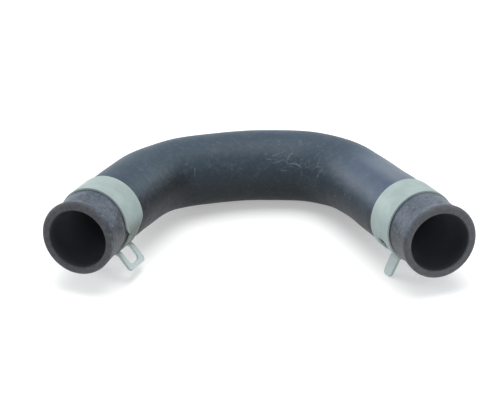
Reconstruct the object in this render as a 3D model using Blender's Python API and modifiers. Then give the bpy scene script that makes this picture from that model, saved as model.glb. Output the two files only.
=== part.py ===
"""Condensate drain hose: a moulded rubber U with a spring band clamp near each mouth.

The hose is one piece of rubber, cured on a bent former, so it keeps its shape. Its
centreline lies in one plane: a shallow middle arc, a tighter bend on each side of it,
and two nearly straight legs. A clamp sits on a straight run of each leg, and the short
stub in front of it curves gently to the mouth. Each clamp is one strip of spring
steel, rolled into a ring. Its narrow tongue passes through a window in the loop ear and
lies in the slot behind it, where it turns outwards as the tab ear. Squeezing the two
ears together opens the ring.

Lying free, the hose rests on the underside of its middle and on the tips of both tab
ears, so its plane leans a few degrees. +Z is up, the mouths point towards -Y, and the
origin is under the middle of the whole, on the surface that it lies on.
"""

import math

import bmesh
import bpy
import numpy as np
from mathutils import Matrix, Vector

# Hose section, in metres
BODY_RADIUS = 0.013
WALL = 0.0035
MOUTH_FLARE = 0.0012
MOUTH_ROUND = 0.0013
BORE_CHAMFER = 0.0005

# Hose centreline, in metres and degrees, from the left mouth to the right one
MOUTH_STRAIGHT = 0.0012
LEFT_STUB_LENGTH = 0.0118
LEFT_STUB_TURN = 3.6
CLAMP_SEAT_LENGTH = 0.0154
LEFT_LEG_LENGTH = 0.0198
LEFT_LEG_TURN = 3.0
LEFT_BEND_RADIUS = 0.0384
LEFT_BEND_TURN = 45.8
MIDDLE_LENGTH = 0.0369
MIDDLE_TURN = 23.3
RIGHT_BEND_RADIUS = 0.0267
RIGHT_BEND_TURN = 54.8
RIGHT_LEG_LENGTH = 0.0337
RIGHT_LEG_TURN = 2.6
RIGHT_STUB_LENGTH = 0.0118
RIGHT_STUB_TURN = 7.2

# Where each band sits: from the mouth's face to the middle of the band
LEFT_SETBACK = 0.02
RIGHT_SETBACK = 0.0209

# Neck that the band presses into the hose
CLAMP_SQUEEZE = 0.00025
FIT_GAP = 0.0003
MOUTH_RAMP = 0.0065
BODY_RAMP = 0.006

# Spring band, in metres
BAND_WIDTH = 0.012
BAND_THICKNESS = 0.0008
TONGUE_WIDTH = 0.0056
TONGUE_GAP = 0.0005
SLOT_CORNER = 0.0018
EAR_BEND_RADIUS = 0.0018

# Loop ear and tab ear: reach is measured from the surface of the hose
LOOP_REACH = 0.0087
LOOP_BASE_WIDTH = 0.0112
LOOP_TIP_WIDTH = 0.0114
LOOP_CORNER = 0.0016
LOOP_BAR = 0.0019
TAB_REACH = 0.0089
TAB_TIP_WIDTH = 0.005
TAB_CORNER = 0.0017

# Angles round the band, in degrees, clockwise from the loop ear as seen into the mouth
EAR_SPREAD = 67.0
SLOT_END = 110.0
TAPER_START = 306.0
TAPER_END = 330.0

# The loop ear's place on the hose, in degrees from straight down, to the right as seen
LOOP_ANGLE = 41.0

# How finely the round forms are drawn
TUBE_RESOLUTION = 12
TUBE_STEP = 0.004
BAND_STEP = 7.5
ROUND_STEPS = 3
RAMP_STEPS = 4
CUTTER_OVERRUN = 0.003
WELD_DISTANCE = 0.000001

# Sizes that follow from the ones above
CLAMP_BORE = BODY_RADIUS - CLAMP_SQUEEZE
BAND_RADIUS = CLAMP_BORE + BAND_THICKNESS / 2
NECK_RADIUS = CLAMP_BORE - FIT_GAP
MOUTH_RADIUS = BODY_RADIUS + MOUTH_FLARE
SLOT_WIDTH = TONGUE_WIDTH + 2 * TONGUE_GAP
RUNS = (
    (MOUTH_STRAIGHT, 0.0),
    (LEFT_STUB_LENGTH, LEFT_STUB_TURN),
    (CLAMP_SEAT_LENGTH, 0.0),
    (LEFT_LEG_LENGTH, LEFT_LEG_TURN),
    (LEFT_BEND_RADIUS * math.radians(LEFT_BEND_TURN), LEFT_BEND_TURN),
    (MIDDLE_LENGTH, MIDDLE_TURN),
    (RIGHT_BEND_RADIUS * math.radians(RIGHT_BEND_TURN), RIGHT_BEND_TURN),
    (RIGHT_LEG_LENGTH, RIGHT_LEG_TURN),
    (CLAMP_SEAT_LENGTH, 0.0),
    (RIGHT_STUB_LENGTH, RIGHT_STUB_TURN),
    (MOUTH_STRAIGHT, 0.0),
)
HOSE_LENGTH = sum(length for length, turn in RUNS)
TOTAL_TURN = sum(turn for length, turn in RUNS)

RUBBER = ((0.055, 0.065, 0.078, 1.0), 0.55, 0.0)
COATED_STEEL = ((0.42, 0.48, 0.46, 1.0), 0.42, 0.35)


def clear_scene():
    """Remove every object that the file starts with."""
    for item in list(bpy.data.objects):
        bpy.data.objects.remove(item, do_unlink=True)


def new_collection(name):
    """A collection linked under the scene's own."""
    collection = bpy.data.collections.new(name)
    bpy.context.scene.collection.children.link(collection)
    return collection


def new_material(name, look):
    """A Principled material from a colour, a roughness and a metallic value."""
    colour, roughness, metallic = look
    material = bpy.data.materials.new(name)
    material.use_nodes = True
    shader = material.node_tree.nodes["Principled BSDF"]
    shader.inputs["Base Color"].default_value = colour
    shader.inputs["Roughness"].default_value = roughness
    shader.inputs["Metallic"].default_value = metallic
    return material


def smooth_step(share):
    """Eases from 0 to 1 as share goes from 0 to 1."""
    share = min(max(share, 0.0), 1.0)
    return share * share * (3.0 - 2.0 * share)


def corner_cut(distance, radius):
    """How far a rounded corner stands back from its edge, at a distance from the tip."""
    if distance >= radius:
        return 0.0
    return radius - math.sqrt(radius ** 2 - (radius - max(distance, 0.0)) ** 2)


def corner_distances(radius):
    """Distances from a tip at which a rounded corner is drawn."""
    quarter = math.pi / 2
    return [radius * (1 - math.cos(quarter * k / ROUND_STEPS)) for k in range(ROUND_STEPS + 1)]


def centreline(distance):
    """Point and heading of the centreline at a distance from the left mouth.

    The heading starts at half of the total turn and ends at minus half, so the two
    mouths splay equally from the Y axis. Each run is an arc whose chord is its length
    times the sine of the half turn over the half turn. Past a mouth it goes straight on.
    """
    heading = math.radians(TOTAL_TURN) / 2
    before = min(distance, 0.0)
    x = before * math.cos(heading)
    y = before * math.sin(heading)
    left = max(distance, 0.0)
    for length, turn in RUNS:
        step = min(left, length)
        half = math.radians(turn) * step / length / 2
        chord = step * math.sin(half) / half if half else step
        x += chord * math.cos(heading - half)
        y += chord * math.sin(heading - half)
        heading -= 2 * half
        left -= step
    x += left * math.cos(heading)
    y += left * math.sin(heading)
    return Vector((x, y, 0.0)), heading


def mouth_distance(distance):
    """Distance to the nearer mouth, and that mouth's clamp setback."""
    if distance < HOSE_LENGTH / 2:
        return distance, LEFT_SETBACK
    return HOSE_LENGTH - distance, RIGHT_SETBACK


def skin_radius(distance):
    """Radius of the hose without its rounded edge: flared mouth, neck, then body."""
    depth, setback = mouth_distance(distance)
    near = setback - BAND_WIDTH / 2 - FIT_GAP
    far = setback + BAND_WIDTH / 2 + FIT_GAP
    flare = (MOUTH_RADIUS - NECK_RADIUS) * smooth_step((near - depth) / MOUTH_RAMP)
    swell = (BODY_RADIUS - NECK_RADIUS) * smooth_step((depth - far) / BODY_RAMP)
    return NECK_RADIUS + flare + swell


def outer_radius(distance):
    """Radius of the outside, with the mouth's edge rounded."""
    depth = mouth_distance(distance)[0]
    return skin_radius(distance) - corner_cut(depth, MOUTH_ROUND)


def bore_radius(distance):
    """Radius of the bore, a wall inside the skin, with a small chamfer at the mouth."""
    depth = mouth_distance(distance)[0]
    chamfer = max(BORE_CHAMFER - max(depth, 0.0), 0.0)
    return skin_radius(distance) - WALL + chamfer


def end_depths(setback):
    """Depths from a mouth where the section changes: round, flare, neck and swell."""
    near = setback - BAND_WIDTH / 2 - FIT_GAP
    far = setback + BAND_WIDTH / 2 + FIT_GAP
    depths = corner_distances(MOUTH_ROUND)
    depths += [near - MOUTH_RAMP * k / RAMP_STEPS for k in range(RAMP_STEPS)]
    depths += [(near + far) / 2]
    depths += [far + BODY_RAMP * k / RAMP_STEPS for k in range(RAMP_STEPS + 1)]
    return sorted(depth for depth in depths if depth >= 0.0)


def hose_stations():
    """Distances along the centreline at which the outside is drawn."""
    left = end_depths(LEFT_SETBACK)
    right = [HOSE_LENGTH - depth for depth in end_depths(RIGHT_SETBACK)]
    span = min(right) - max(left)
    count = max(2, math.ceil(span / TUBE_STEP))
    between = [max(left) + span * k / count for k in range(1, count)]
    return left + between + sorted(right)


def bore_stations():
    """The outside's stations, with the chamfers' ends, run out past both mouths."""
    inner = [s for s in hose_stations() if MOUTH_ROUND < s < HOSE_LENGTH - MOUTH_ROUND]
    left = [-CUTTER_OVERRUN, 0.0, BORE_CHAMFER]
    right = [HOSE_LENGTH - BORE_CHAMFER, HOSE_LENGTH, HOSE_LENGTH + CUTTER_OVERRUN]
    return left + inner + right


def new_tube(name, stations, radius_at, collection):
    """A closed tube along the centreline: a bevelled curve turned into a mesh."""
    curve = bpy.data.curves.new(name, "CURVE")
    curve.dimensions = "3D"
    curve.twist_mode = "Z_UP"
    curve.bevel_depth = BODY_RADIUS
    curve.bevel_resolution = TUBE_RESOLUTION
    curve.use_fill_caps = True
    spline = curve.splines.new("POLY")
    spline.points.add(len(stations) - 1)
    for point, station in zip(spline.points, stations):
        point.co = (*centreline(station)[0], 1.0)
        point.radius = radius_at(station) / BODY_RADIUS
    guide = bpy.data.objects.new(name + "_path", curve)
    collection.objects.link(guide)
    bpy.context.view_layer.update()
    evaluated = guide.evaluated_get(bpy.context.evaluated_depsgraph_get())
    mesh = bpy.data.meshes.new_from_object(evaluated)
    mesh.name = name
    shell = bmesh.new()
    shell.from_mesh(mesh)
    bmesh.ops.remove_doubles(shell, verts=shell.verts, dist=WELD_DISTANCE)
    bmesh.ops.recalc_face_normals(shell, faces=shell.faces)
    shell.to_mesh(mesh)
    shell.free()
    tube = bpy.data.objects.new(name, mesh)
    tube.matrix_world = guide.matrix_world
    collection.objects.link(tube)
    bpy.data.objects.remove(guide)
    return tube


def make_hose(parts, cutters):
    """The hose: the outside with its bore cut right through."""
    hose = new_tube("hose", hose_stations(), outer_radius, parts)
    bore = new_tube("bore_cutter", bore_stations(), bore_radius, cutters)
    bore.hide_render = True
    bore.display_type = "WIRE"
    cut = hose.modifiers.new("bore", "BOOLEAN")
    cut.operation = "DIFFERENCE"
    cut.object = bore
    hose.data.materials.append(new_material("rubber", RUBBER))
    hose.data.shade_smooth()
    hose.data.set_sharp_from_angle(angle=math.radians(40))
    return hose, bore


def band_direction(turn):
    """Unit vectors outwards and onwards, at an angle in degrees round from the loop ear."""
    angle = math.radians(LOOP_ANGLE - turn)
    outwards = Vector((math.sin(angle), -math.cos(angle)))
    onwards = Vector((-math.cos(angle), -math.sin(angle)))
    return outwards, onwards


def ear_stations(turn, side, depths, tip):
    """Points down an ear and round its bend: straight in, then an arc onto the ring.

    The arc touches both the ear's radial line and the ring. Its centre is a bend radius
    to the side of that line, which is +1 for the loop ear and -1 for the tab ear.
    """
    outwards, onwards = band_direction(turn)
    bend = EAR_BEND_RADIUS + BAND_THICKNESS / 2
    lean = math.asin(bend / (BAND_RADIUS + bend))
    foot = math.sqrt((BAND_RADIUS + bend) ** 2 - bend ** 2)
    centre = outwards * foot + onwards * (side * bend)
    points = [(outwards * (tip - depth), depth) for depth in depths if tip - depth > foot]
    arc = math.pi / 2 - lean
    for k in range(ROUND_STEPS * 2):
        angle = arc * k / (ROUND_STEPS * 2)
        place = centre - onwards * (side * bend * math.cos(angle)) - outwards * (bend * math.sin(angle))
        points.append((place, tip - foot + bend * angle))
    return points, math.degrees(lean)


def ring_width(turn):
    """Half width of the rolled strip: side strips, full band, taper, tongue."""
    spread = smooth_step(turn / SLOT_END)
    band = LOOP_BASE_WIDTH + (BAND_WIDTH - LOOP_BASE_WIDTH) * spread
    taper = smooth_step((turn - TAPER_START) / (TAPER_END - TAPER_START))
    return (band + (TONGUE_WIDTH - BAND_WIDTH) * taper) / 2


def strip_stations():
    """Every line across the strip: its place, half width and half slot, or None."""
    loop_tip = BODY_RADIUS + LOOP_REACH
    tab_tip = BODY_RADIUS + TAB_REACH
    corners = corner_distances(LOOP_CORNER)
    corners += [LOOP_BAR + depth for depth in corner_distances(SLOT_CORNER)]
    ear, lean = ear_stations(0.0, 1, sorted(corners), loop_tip)
    lines = []
    for place, depth in ear:
        share = smooth_step(depth / LOOP_REACH)
        width = (LOOP_TIP_WIDTH + (LOOP_BASE_WIDTH - LOOP_TIP_WIDTH) * share) / 2
        width -= corner_cut(depth, LOOP_CORNER)
        slot = None
        if depth >= LOOP_BAR:
            slot = SLOT_WIDTH / 2 - corner_cut(depth - LOOP_BAR, SLOT_CORNER)
        lines.append((place, width, slot))

    last = 360.0 + EAR_SPREAD - lean
    count = math.ceil((last - lean) / BAND_STEP)
    turns = [lean + (last - lean) * k / count for k in range(count + 1)]
    slot_corner = [SLOT_END - math.degrees(d / BAND_RADIUS) for d in corner_distances(SLOT_CORNER)]
    turns = sorted([t for t in turns if not slot_corner[-1] < t < SLOT_END] + slot_corner)
    for turn in turns:
        slot = None
        if turn <= SLOT_END:
            to_end = math.radians(SLOT_END - turn) * BAND_RADIUS
            slot = SLOT_WIDTH / 2 - corner_cut(to_end, SLOT_CORNER)
        lines.append((band_direction(turn)[0] * BAND_RADIUS, ring_width(turn), slot))

    tab = ear_stations(360.0 + EAR_SPREAD, -1, corner_distances(TAB_CORNER), tab_tip)[0]
    for place, depth in reversed(tab):
        share = min(depth / TAB_REACH, 1.0)
        width = (TAB_TIP_WIDTH + (TONGUE_WIDTH - TAB_TIP_WIDTH) * share) / 2
        lines.append((place, width - corner_cut(depth, TAB_CORNER), None))
    return lines


def make_clamp_mesh():
    """The rolled strip as an open surface: a grid bent along the stations."""
    lines = strip_stations()
    mesh = bpy.data.meshes.new("spring_clamp")
    strip = bmesh.new()
    bmesh.ops.create_grid(strip, x_segments=len(lines) - 1, y_segments=3, size=1.0)
    columns = {}
    for vertex in strip.verts:
        column = round((vertex.co.x + 1) / 2 * (len(lines) - 1))
        row = round((vertex.co.y + 1) / 2 * 3)
        place, width, slot = lines[column]
        inner = width / 2 if slot is None else slot
        columns[vertex] = column
        across = (-width, -inner, inner, width)[row]
        vertex.co = (place.x, place.y, across)
    slotted = {k for k, line in enumerate(lines) if line[2] is not None}
    window = []
    for face in strip.faces:
        between_rows = abs(sum(vertex.co.z for vertex in face.verts)) < WELD_DISTANCE
        if between_rows and all(columns[vertex] in slotted for vertex in face.verts):
            window.append(face)
    bmesh.ops.delete(strip, geom=window, context="FACES")
    strip.to_mesh(mesh)
    strip.free()
    mesh.materials.append(new_material("coated_steel", COATED_STEEL))
    mesh.shade_smooth()
    mesh.set_sharp_from_angle(angle=math.radians(40))
    return mesh


def mouth_matrix(setback, side):
    """Frame at a setback from a mouth: Z out of the mouth, Y up; side is -1 left, 1 right."""
    distance = setback if side < 0 else HOSE_LENGTH - setback
    point, heading = centreline(distance)
    out = Vector((math.cos(heading), math.sin(heading), 0.0)) * side
    up = Vector((0.0, 0.0, 1.0))
    return Matrix.Translation(point) @ Matrix((up.cross(out), up, out)).transposed().to_4x4()


def make_clamp(name, mesh, setback, side, parts):
    """One clamp round the hose, with its sheet given its thickness."""
    clamp = bpy.data.objects.new(name, mesh)
    clamp.matrix_world = mouth_matrix(setback, side)
    parts.objects.link(clamp)
    sheet = clamp.modifiers.new("thickness", "SOLIDIFY")
    sheet.thickness = BAND_THICKNESS
    sheet.offset = 0.0
    return clamp


def world_points(items):
    """Every evaluated vertex of some objects, in world space, as an array."""
    bpy.context.view_layer.update()
    depsgraph = bpy.context.evaluated_depsgraph_get()
    clouds = []
    for item in items:
        mesh = item.evaluated_get(depsgraph).data
        flat = np.empty(len(mesh.vertices) * 3)
        mesh.vertices.foreach_get("co", flat)
        matrix = np.array(item.matrix_world)
        clouds.append(flat.reshape(-1, 3) @ matrix[:3, :3].T + matrix[:3, 3])
    return np.concatenate(clouds)


def lowest_place(points):
    """Middle of the lowest edge: the mean of the points within 0.1 mm of the lowest."""
    return Vector(points[points[:, 2] < points[:, 2].min() + 0.0001].mean(axis=0))


def resting_matrix(hose, clamps):
    """Turn and shift that lay the assembly down on its middle and both tab ears.

    The hose turns about the line through the two tab tips, by the angle at which its
    own lowest point and theirs are at one height. That angle is found by halving.
    """
    hose_points = world_points([hose])
    clamp_points = [world_points([clamp]) for clamp in clamps]
    left_tip, right_tip = (lowest_place(points) for points in clamp_points)
    axis = (right_tip - left_tip).normalized()
    clamp_points = np.concatenate(clamp_points)
    low, high = 0.0, math.radians(20)
    for _ in range(40):
        angle = (low + high) / 2
        lift = np.array(Matrix.Rotation(-angle, 3, axis))[2]
        if (hose_points @ lift).min() > (clamp_points @ lift).min():
            low = angle
        else:
            high = angle
    turn = Matrix.Rotation(-angle, 4, axis)
    laid = np.concatenate([hose_points, clamp_points]) @ np.array(turn)[:3, :3].T
    centre = (laid.min(axis=0) + laid.max(axis=0)) / 2
    return Matrix.Translation((-centre[0], -centre[1], -laid[:, 2].min())) @ turn


def main():
    clear_scene()
    parts = new_collection("condensate_drain_hose")
    cutters = new_collection("cutters")
    hose, bore = make_hose(parts, cutters)
    clamp_mesh = make_clamp_mesh()
    left = make_clamp("left_clamp", clamp_mesh, LEFT_SETBACK, -1, parts)
    right = make_clamp("right_clamp", clamp_mesh, RIGHT_SETBACK, 1, parts)
    resting = resting_matrix(hose, (left, right))
    plane = bpy.data.objects.new("hose_plane", None)
    parts.objects.link(plane)
    for item in (hose, bore, left, right):
        item.parent = plane
    plane.matrix_world = resting
    bpy.context.view_layer.update()


main()
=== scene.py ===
import math

import bmesh
import bpy
import numpy as np
from mathutils import Matrix, Vector


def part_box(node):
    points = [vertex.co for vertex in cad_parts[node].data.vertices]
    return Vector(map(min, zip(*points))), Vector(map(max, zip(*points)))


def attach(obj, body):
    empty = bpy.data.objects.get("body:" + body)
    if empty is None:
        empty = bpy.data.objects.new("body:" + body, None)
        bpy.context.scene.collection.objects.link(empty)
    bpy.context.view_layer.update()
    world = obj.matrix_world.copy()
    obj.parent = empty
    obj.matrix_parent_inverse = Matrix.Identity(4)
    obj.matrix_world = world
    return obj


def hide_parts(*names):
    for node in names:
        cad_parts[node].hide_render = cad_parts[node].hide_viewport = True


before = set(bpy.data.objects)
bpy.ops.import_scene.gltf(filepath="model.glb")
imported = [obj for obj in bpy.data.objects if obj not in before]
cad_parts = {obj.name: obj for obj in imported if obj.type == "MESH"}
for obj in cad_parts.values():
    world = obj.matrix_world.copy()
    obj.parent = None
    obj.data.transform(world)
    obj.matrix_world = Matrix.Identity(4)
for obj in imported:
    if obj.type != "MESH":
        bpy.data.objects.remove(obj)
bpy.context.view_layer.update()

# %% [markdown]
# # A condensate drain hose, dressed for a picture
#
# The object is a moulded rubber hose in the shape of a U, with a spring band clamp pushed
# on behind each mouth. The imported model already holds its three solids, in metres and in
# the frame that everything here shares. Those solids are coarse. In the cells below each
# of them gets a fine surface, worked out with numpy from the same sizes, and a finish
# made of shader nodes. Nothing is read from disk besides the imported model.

MM = 0.001

for name in sorted(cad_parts):
    low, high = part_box(name)
    print(name, "is", [round((b - a) / MM, 1) for a, b in zip(low, high)], "mm")

# %% [markdown]
# ## The camera
#
# The picture was taken with a long lens, from some 31 degrees above and almost straight
# in front of the mouths. A camera is easiest to place by the point that it looks at, its
# distance from that point, and two angles. A third angle, the roll, turns the picture
# about its own centre. The long lens is what keeps the two mouths nearly the same size.

# %% Camera
AIM = Vector((-3.18, -2.70, 17.48)) * MM
DISTANCE = 0.8273
ELEVATION = math.radians(31.175)
AZIMUTH = math.radians(-1.077)
ROLL = math.radians(-0.681)
LENS = 163.84
SENSOR_WIDTH = 36.0
NEAREST_SEEN = 0.01
FURTHEST_SEEN = 20.0

backwards = Vector((
    -math.sin(AZIMUTH) * math.cos(ELEVATION),
    -math.cos(AZIMUTH) * math.cos(ELEVATION),
    math.sin(ELEVATION),
))
lens = bpy.data.cameras.new("long_lens")
lens.lens = LENS
lens.sensor_width = SENSOR_WIDTH
lens.clip_start = NEAREST_SEEN
lens.clip_end = FURTHEST_SEEN
camera = bpy.data.objects.new("camera", lens)
bpy.context.scene.collection.objects.link(camera)
upright = backwards.to_track_quat("Z", "Y").to_matrix().to_4x4()
upright_there = Matrix.Translation(AIM + backwards * DISTANCE) @ upright
camera.matrix_world = upright_there @ Matrix.Rotation(ROLL, 4, "Z")
bpy.context.scene.camera = camera
print("camera at", [round(x, 3) for x in camera.matrix_world.translation])

# %% [markdown]
# ## The hose's centreline
#
# The hose was cured on a bent steel former, so its centreline is a chain of straight runs
# and arcs in one plane. Such a chain could be drawn as a curve object. Here it is worked
# out as a function instead, because everything else needs to ask it one question: where is
# the middle of the hose, and which way does it head, at some distance from the left mouth?
# For an arc the answer is a chord, whose length is the arc's length times the sine of half
# its turn over half its turn. numpy answers for a whole array of distances at once.

# %% Centreline
RUNS = np.array([
    # length in mm, turn in degrees
    (1.2, 0.0),
    (11.8, 3.6),
    (15.4, 0.0),
    (19.8, 3.0),
    (38.4 * math.radians(45.8), 45.8),
    (36.9, 23.3),
    (26.7 * math.radians(54.8), 54.8),
    (33.7, 2.6),
    (15.4, 0.0),
    (11.8, 7.2),
    (1.2, 0.0),
])
run_length = RUNS[:, 0] * MM
run_turn = np.radians(RUNS[:, 1])
run_start = np.concatenate([[0.0], np.cumsum(run_length)[:-1]])
run_heading = run_turn.sum() / 2 - np.concatenate([[0.0], np.cumsum(run_turn)[:-1]])
HOSE_LENGTH = run_length.sum()


def chord(length, turn, heading):
    """Step in x and y along an arc: its chord, at the heading less half of the turn."""
    reach = length * np.sinc(turn / 2 / np.pi)
    half_way = heading - turn / 2
    return np.stack([reach * np.cos(half_way), reach * np.sin(half_way)], axis=-1)


run_steps = chord(run_length, run_turn, run_heading)
run_point = np.concatenate([np.zeros((1, 2)), np.cumsum(run_steps, axis=0)[:-1]])


def centreline(distance):
    """Points in the hose's plane and headings: the start of the run plus part of its arc."""
    distance = np.asarray(distance, float)
    run = np.clip(np.searchsorted(run_start, distance, side="right") - 1, 0, len(RUNS) - 1)
    step = distance - run_start[run]
    turn = run_turn[run] * step / run_length[run]
    flat = run_point[run] + chord(step, turn, run_heading[run])
    points = np.concatenate([flat, np.zeros(flat.shape[:-1] + (1,))], axis=-1)
    return points, run_heading[run] - turn


print("hose length", round(HOSE_LENGTH / MM, 1), "mm")
print("turning", round(RUNS[:, 1].sum(), 1), "degrees")

# %% [markdown]
# ## How the hose lies
#
# Laid down, the hose rests on the underside of its middle and on the tips of two clamp
# ears, so its plane leans by a few degrees. The lean and the place were settled when the
# solids were made. One turn and one shift take any point of the hose's plane to where the
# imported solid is. The print tells where the right mouth comes to lie.

# %% From the hose's plane to its place
LEAN = math.radians(7.6563)
LEAN_AXIS = math.radians(175.5923)
LEFT_MOUTH = np.array([-63.5328, -37.1553, 22.7212]) * MM
lean_axis = Vector((math.cos(LEAN_AXIS), math.sin(LEAN_AXIS), 0.0))
lean = np.array(Matrix.Rotation(LEAN, 3, lean_axis))


def laid_down(points):
    """Points of the hose's plane, turned by the lean and shifted to the left mouth."""
    return points @ lean.T + LEFT_MOUTH


right_mouth = laid_down(centreline(HOSE_LENGTH)[0])
print("right mouth at", np.round(right_mouth / MM, 2), "mm")

# %% [markdown]
# ## From an array of points to a mesh
#
# Every new piece is a grid of points: rows along it and columns round it. This helper
# joins neighbours into four-sided faces, with a last row or column that may join the first
# again, so that seams close without doubled points. It also writes a UV map in metres,
# which lets a finish measure true distances along a piece and round it.

# %% Grid helper


def grid_piece(name, points, uv, close_rows, close_columns):
    """Mesh object from points (rows, columns, 3); uv has one more row or column if closed."""
    rows, columns = points.shape[:2]
    r = np.arange(rows if close_rows else rows - 1)[:, None]
    c = np.arange(columns if close_columns else columns - 1)[None, :]
    r_next = (r + 1) % rows
    c_next = (c + 1) % columns
    corners = [(r, c), (r, c_next), (r_next, c_next), (r_next, c)]
    numbers = [np.broadcast_to(a * columns + b, (r.size, c.size)) for a, b in corners]
    faces = np.stack(numbers, axis=-1).reshape(-1, 4)
    mesh = bpy.data.meshes.new(name)
    mesh.from_pydata(points.reshape(-1, 3), [], faces)
    places = [(r, c), (r, c + 1), (r + 1, c + 1), (r + 1, c)]
    spread = [np.broadcast_arrays(a, b) for a, b in places]
    corner_uv = np.stack([uv[a, b] for a, b in spread], axis=-2)
    layer = mesh.uv_layers.new(name="metres")
    layer.data.foreach_set("uv", corner_uv.reshape(-1).astype(np.float32))
    mesh.shade_smooth()
    piece = bpy.data.objects.new(name, mesh)
    bpy.context.scene.collection.objects.link(piece)
    return piece


def enclosed_volume(mesh):
    """Sum over triangles of a corner dotted with the cross of the other two, over six."""
    mesh.calc_loop_triangles()
    corners = np.empty(len(mesh.loop_triangles) * 3, np.int32)
    mesh.loop_triangles.foreach_get("vertices", corners)
    place = np.empty(len(mesh.vertices) * 3)
    mesh.vertices.foreach_get("co", place)
    a, b, c = np.moveaxis(place.reshape(-1, 3)[corners.reshape(-1, 3)], 1, 0)
    return float((a * np.cross(b, c)).sum() / 6)


print("grid helper ready")

# %% [markdown]
# ## The hose's section
#
# Cut along its length, the wall of the hose is one closed outline: along the outside from
# the left mouth to the right one, round the lip, across the cut end, and back through the
# bore. Swung round the centreline, that outline becomes the whole hose, with no seam to
# close by hand. The rubber swells at each cut end, and is pinched under each band. Just
# outside the pinch it rolls up by a hair, as soft rubber does. The swelling at the cut end
# is short on top and long below, and almost gone on the inner side of the U, so it also
# depends on the angle round the hose.

# %% Section sizes
BODY_RADIUS = 13.0 * MM
WALL = 3.5 * MM
LIP_RADII = (13.85 * MM, 14.0 * MM)
LIP_BORES = (10.85 * MM, 10.95 * MM)
LIP_ROUND = 1.6 * MM
LIP_FLAT = 1.2 * MM
LIP_RAMP = 4.6 * MM
LIP_RAMP_SWING = 2.2 * MM
LIP_RAMP_SHORTEST_AT = math.radians(55)
PLAIN_SIDE_AT = math.radians(-108)
PLAIN_STUB_GAIN = (0.45 * MM, 0.25 * MM)
PLAIN_LIP_LOSS = 0.60 * MM
BORE_CHAMFER = 0.3 * MM
BORE_LEVEL = 3.0 * MM
BORE_RAMP = 9.0 * MM
NECK_RADIUS = 12.68 * MM
STUB_RADIUS = 12.85 * MM
BAND_WIDTH = 12.0 * MM
STUB_GAP = 0.3 * MM
STUB_RAMP = 2.5 * MM
BODY_GAP = 0.1 * MM
BODY_RAMP = 4.5 * MM
LEFT_SETBACK = 20.0 * MM
RIGHT_SETBACK = 20.9 * MM
ROLL_HEIGHT = 0.08 * MM
ROLL_PLACE = 1.4 * MM
ROLL_SPREAD = 0.9 * MM


def eased(share):
    """Smooth step: three shares squared less two shares cubed, held between 0 and 1."""
    share = np.clip(share, 0.0, 1.0)
    return share * share * (3 - 2 * share)


def per_mouth(distance, pair):
    """The left mouth's value in the hose's first half, the right one's in its second."""
    return np.where(distance < HOSE_LENGTH / 2, pair[0], pair[1])


def mouth_depth(distance):
    """Distance in from the nearer mouth, and that end's clamp setback."""
    depth = np.where(distance < HOSE_LENGTH / 2, distance, HOSE_LENGTH - distance)
    return depth, per_mouth(distance, (LEFT_SETBACK, RIGHT_SETBACK))


def skin_radius(distance, angle):
    """Neck, plus stub, plus a flare to the lip, plus a swell to the body, plus two rolls."""
    depth, setback = mouth_depth(distance)
    near = setback - BAND_WIDTH / 2
    far = setback + BAND_WIDTH / 2
    plain_side = np.clip(np.cos(angle - PLAIN_SIDE_AT), 0, None) ** 2
    stub_radius = STUB_RADIUS + per_mouth(distance, PLAIN_STUB_GAIN) * plain_side
    lip_radius = per_mouth(distance, LIP_RADII) - PLAIN_LIP_LOSS * plain_side
    stub = (stub_radius - NECK_RADIUS) * eased((near - STUB_GAP - depth) / STUB_RAMP)
    ramp = LIP_RAMP - LIP_RAMP_SWING * np.cos(angle - LIP_RAMP_SHORTEST_AT)
    flare = (lip_radius - stub_radius) * eased(1 - (depth - LIP_FLAT) / ramp)
    swell = (BODY_RADIUS - NECK_RADIUS) * eased((depth - far - BODY_GAP) / BODY_RAMP)
    crests = (near - ROLL_PLACE, far + ROLL_PLACE)
    rolls = sum(np.exp(-(((depth - crest) / ROLL_SPREAD) ** 2)) for crest in crests)
    return NECK_RADIUS + stub + flare + swell + ROLL_HEIGHT * rolls


def bore_radius(distance):
    """Body less wall, and wider towards each mouth, with a chamfer at its edge."""
    depth = mouth_depth(distance)[0]
    widening = per_mouth(distance, LIP_BORES) - (BODY_RADIUS - WALL)
    chamfer = np.clip(BORE_CHAMFER - depth, 0, None)
    return BODY_RADIUS - WALL + widening * eased(1 - (depth - BORE_LEVEL) / BORE_RAMP) + chamfer


print("radii in mm: lips", [round(r / MM, 2) for r in LIP_RADII])
print("body", round(BODY_RADIUS / MM, 2), "and neck", round(NECK_RADIUS / MM, 2))

# %% [markdown]
# ## The outline, point by point
#
# The points lie close together where the outline turns sharply and wide apart where it
# does not. Two numbers are kept with each point, since the finish will ask for them: how
# far the point belongs to the cut end, and how far inside the bore it lies. The first is 1
# at the bore's edge and falls off with the distance out and back from there, and it falls
# off sooner on the side where the lip runs softly into the hose.

# %% Outline of the wall
OUTSIDE_STEP = 0.7 * MM
RING_POINTS = 144
LIP_POINTS = 9
FACE_POINTS = 6
ring_angle = 2 * np.pi * np.arange(RING_POINTS) / RING_POINTS - np.pi
quarter = np.linspace(0, np.pi / 2, LIP_POINTS)
round_depth = LIP_ROUND * (1 - np.cos(quarter))
round_drop = LIP_ROUND * (1 - np.sin(quarter))

count = int(round((HOSE_LENGTH - 2 * LIP_ROUND) / OUTSIDE_STEP))
along = np.linspace(LIP_ROUND, HOSE_LENGTH - LIP_ROUND, count + 1)[1:-1]
outside_place = np.concatenate([round_depth, along, HOSE_LENGTH - round_depth[::-1]])
outside_drop = np.concatenate([round_drop, np.zeros(len(along)), round_drop[::-1]])
outside = skin_radius(outside_place[:, None], ring_angle) - outside_drop[:, None]

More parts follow.
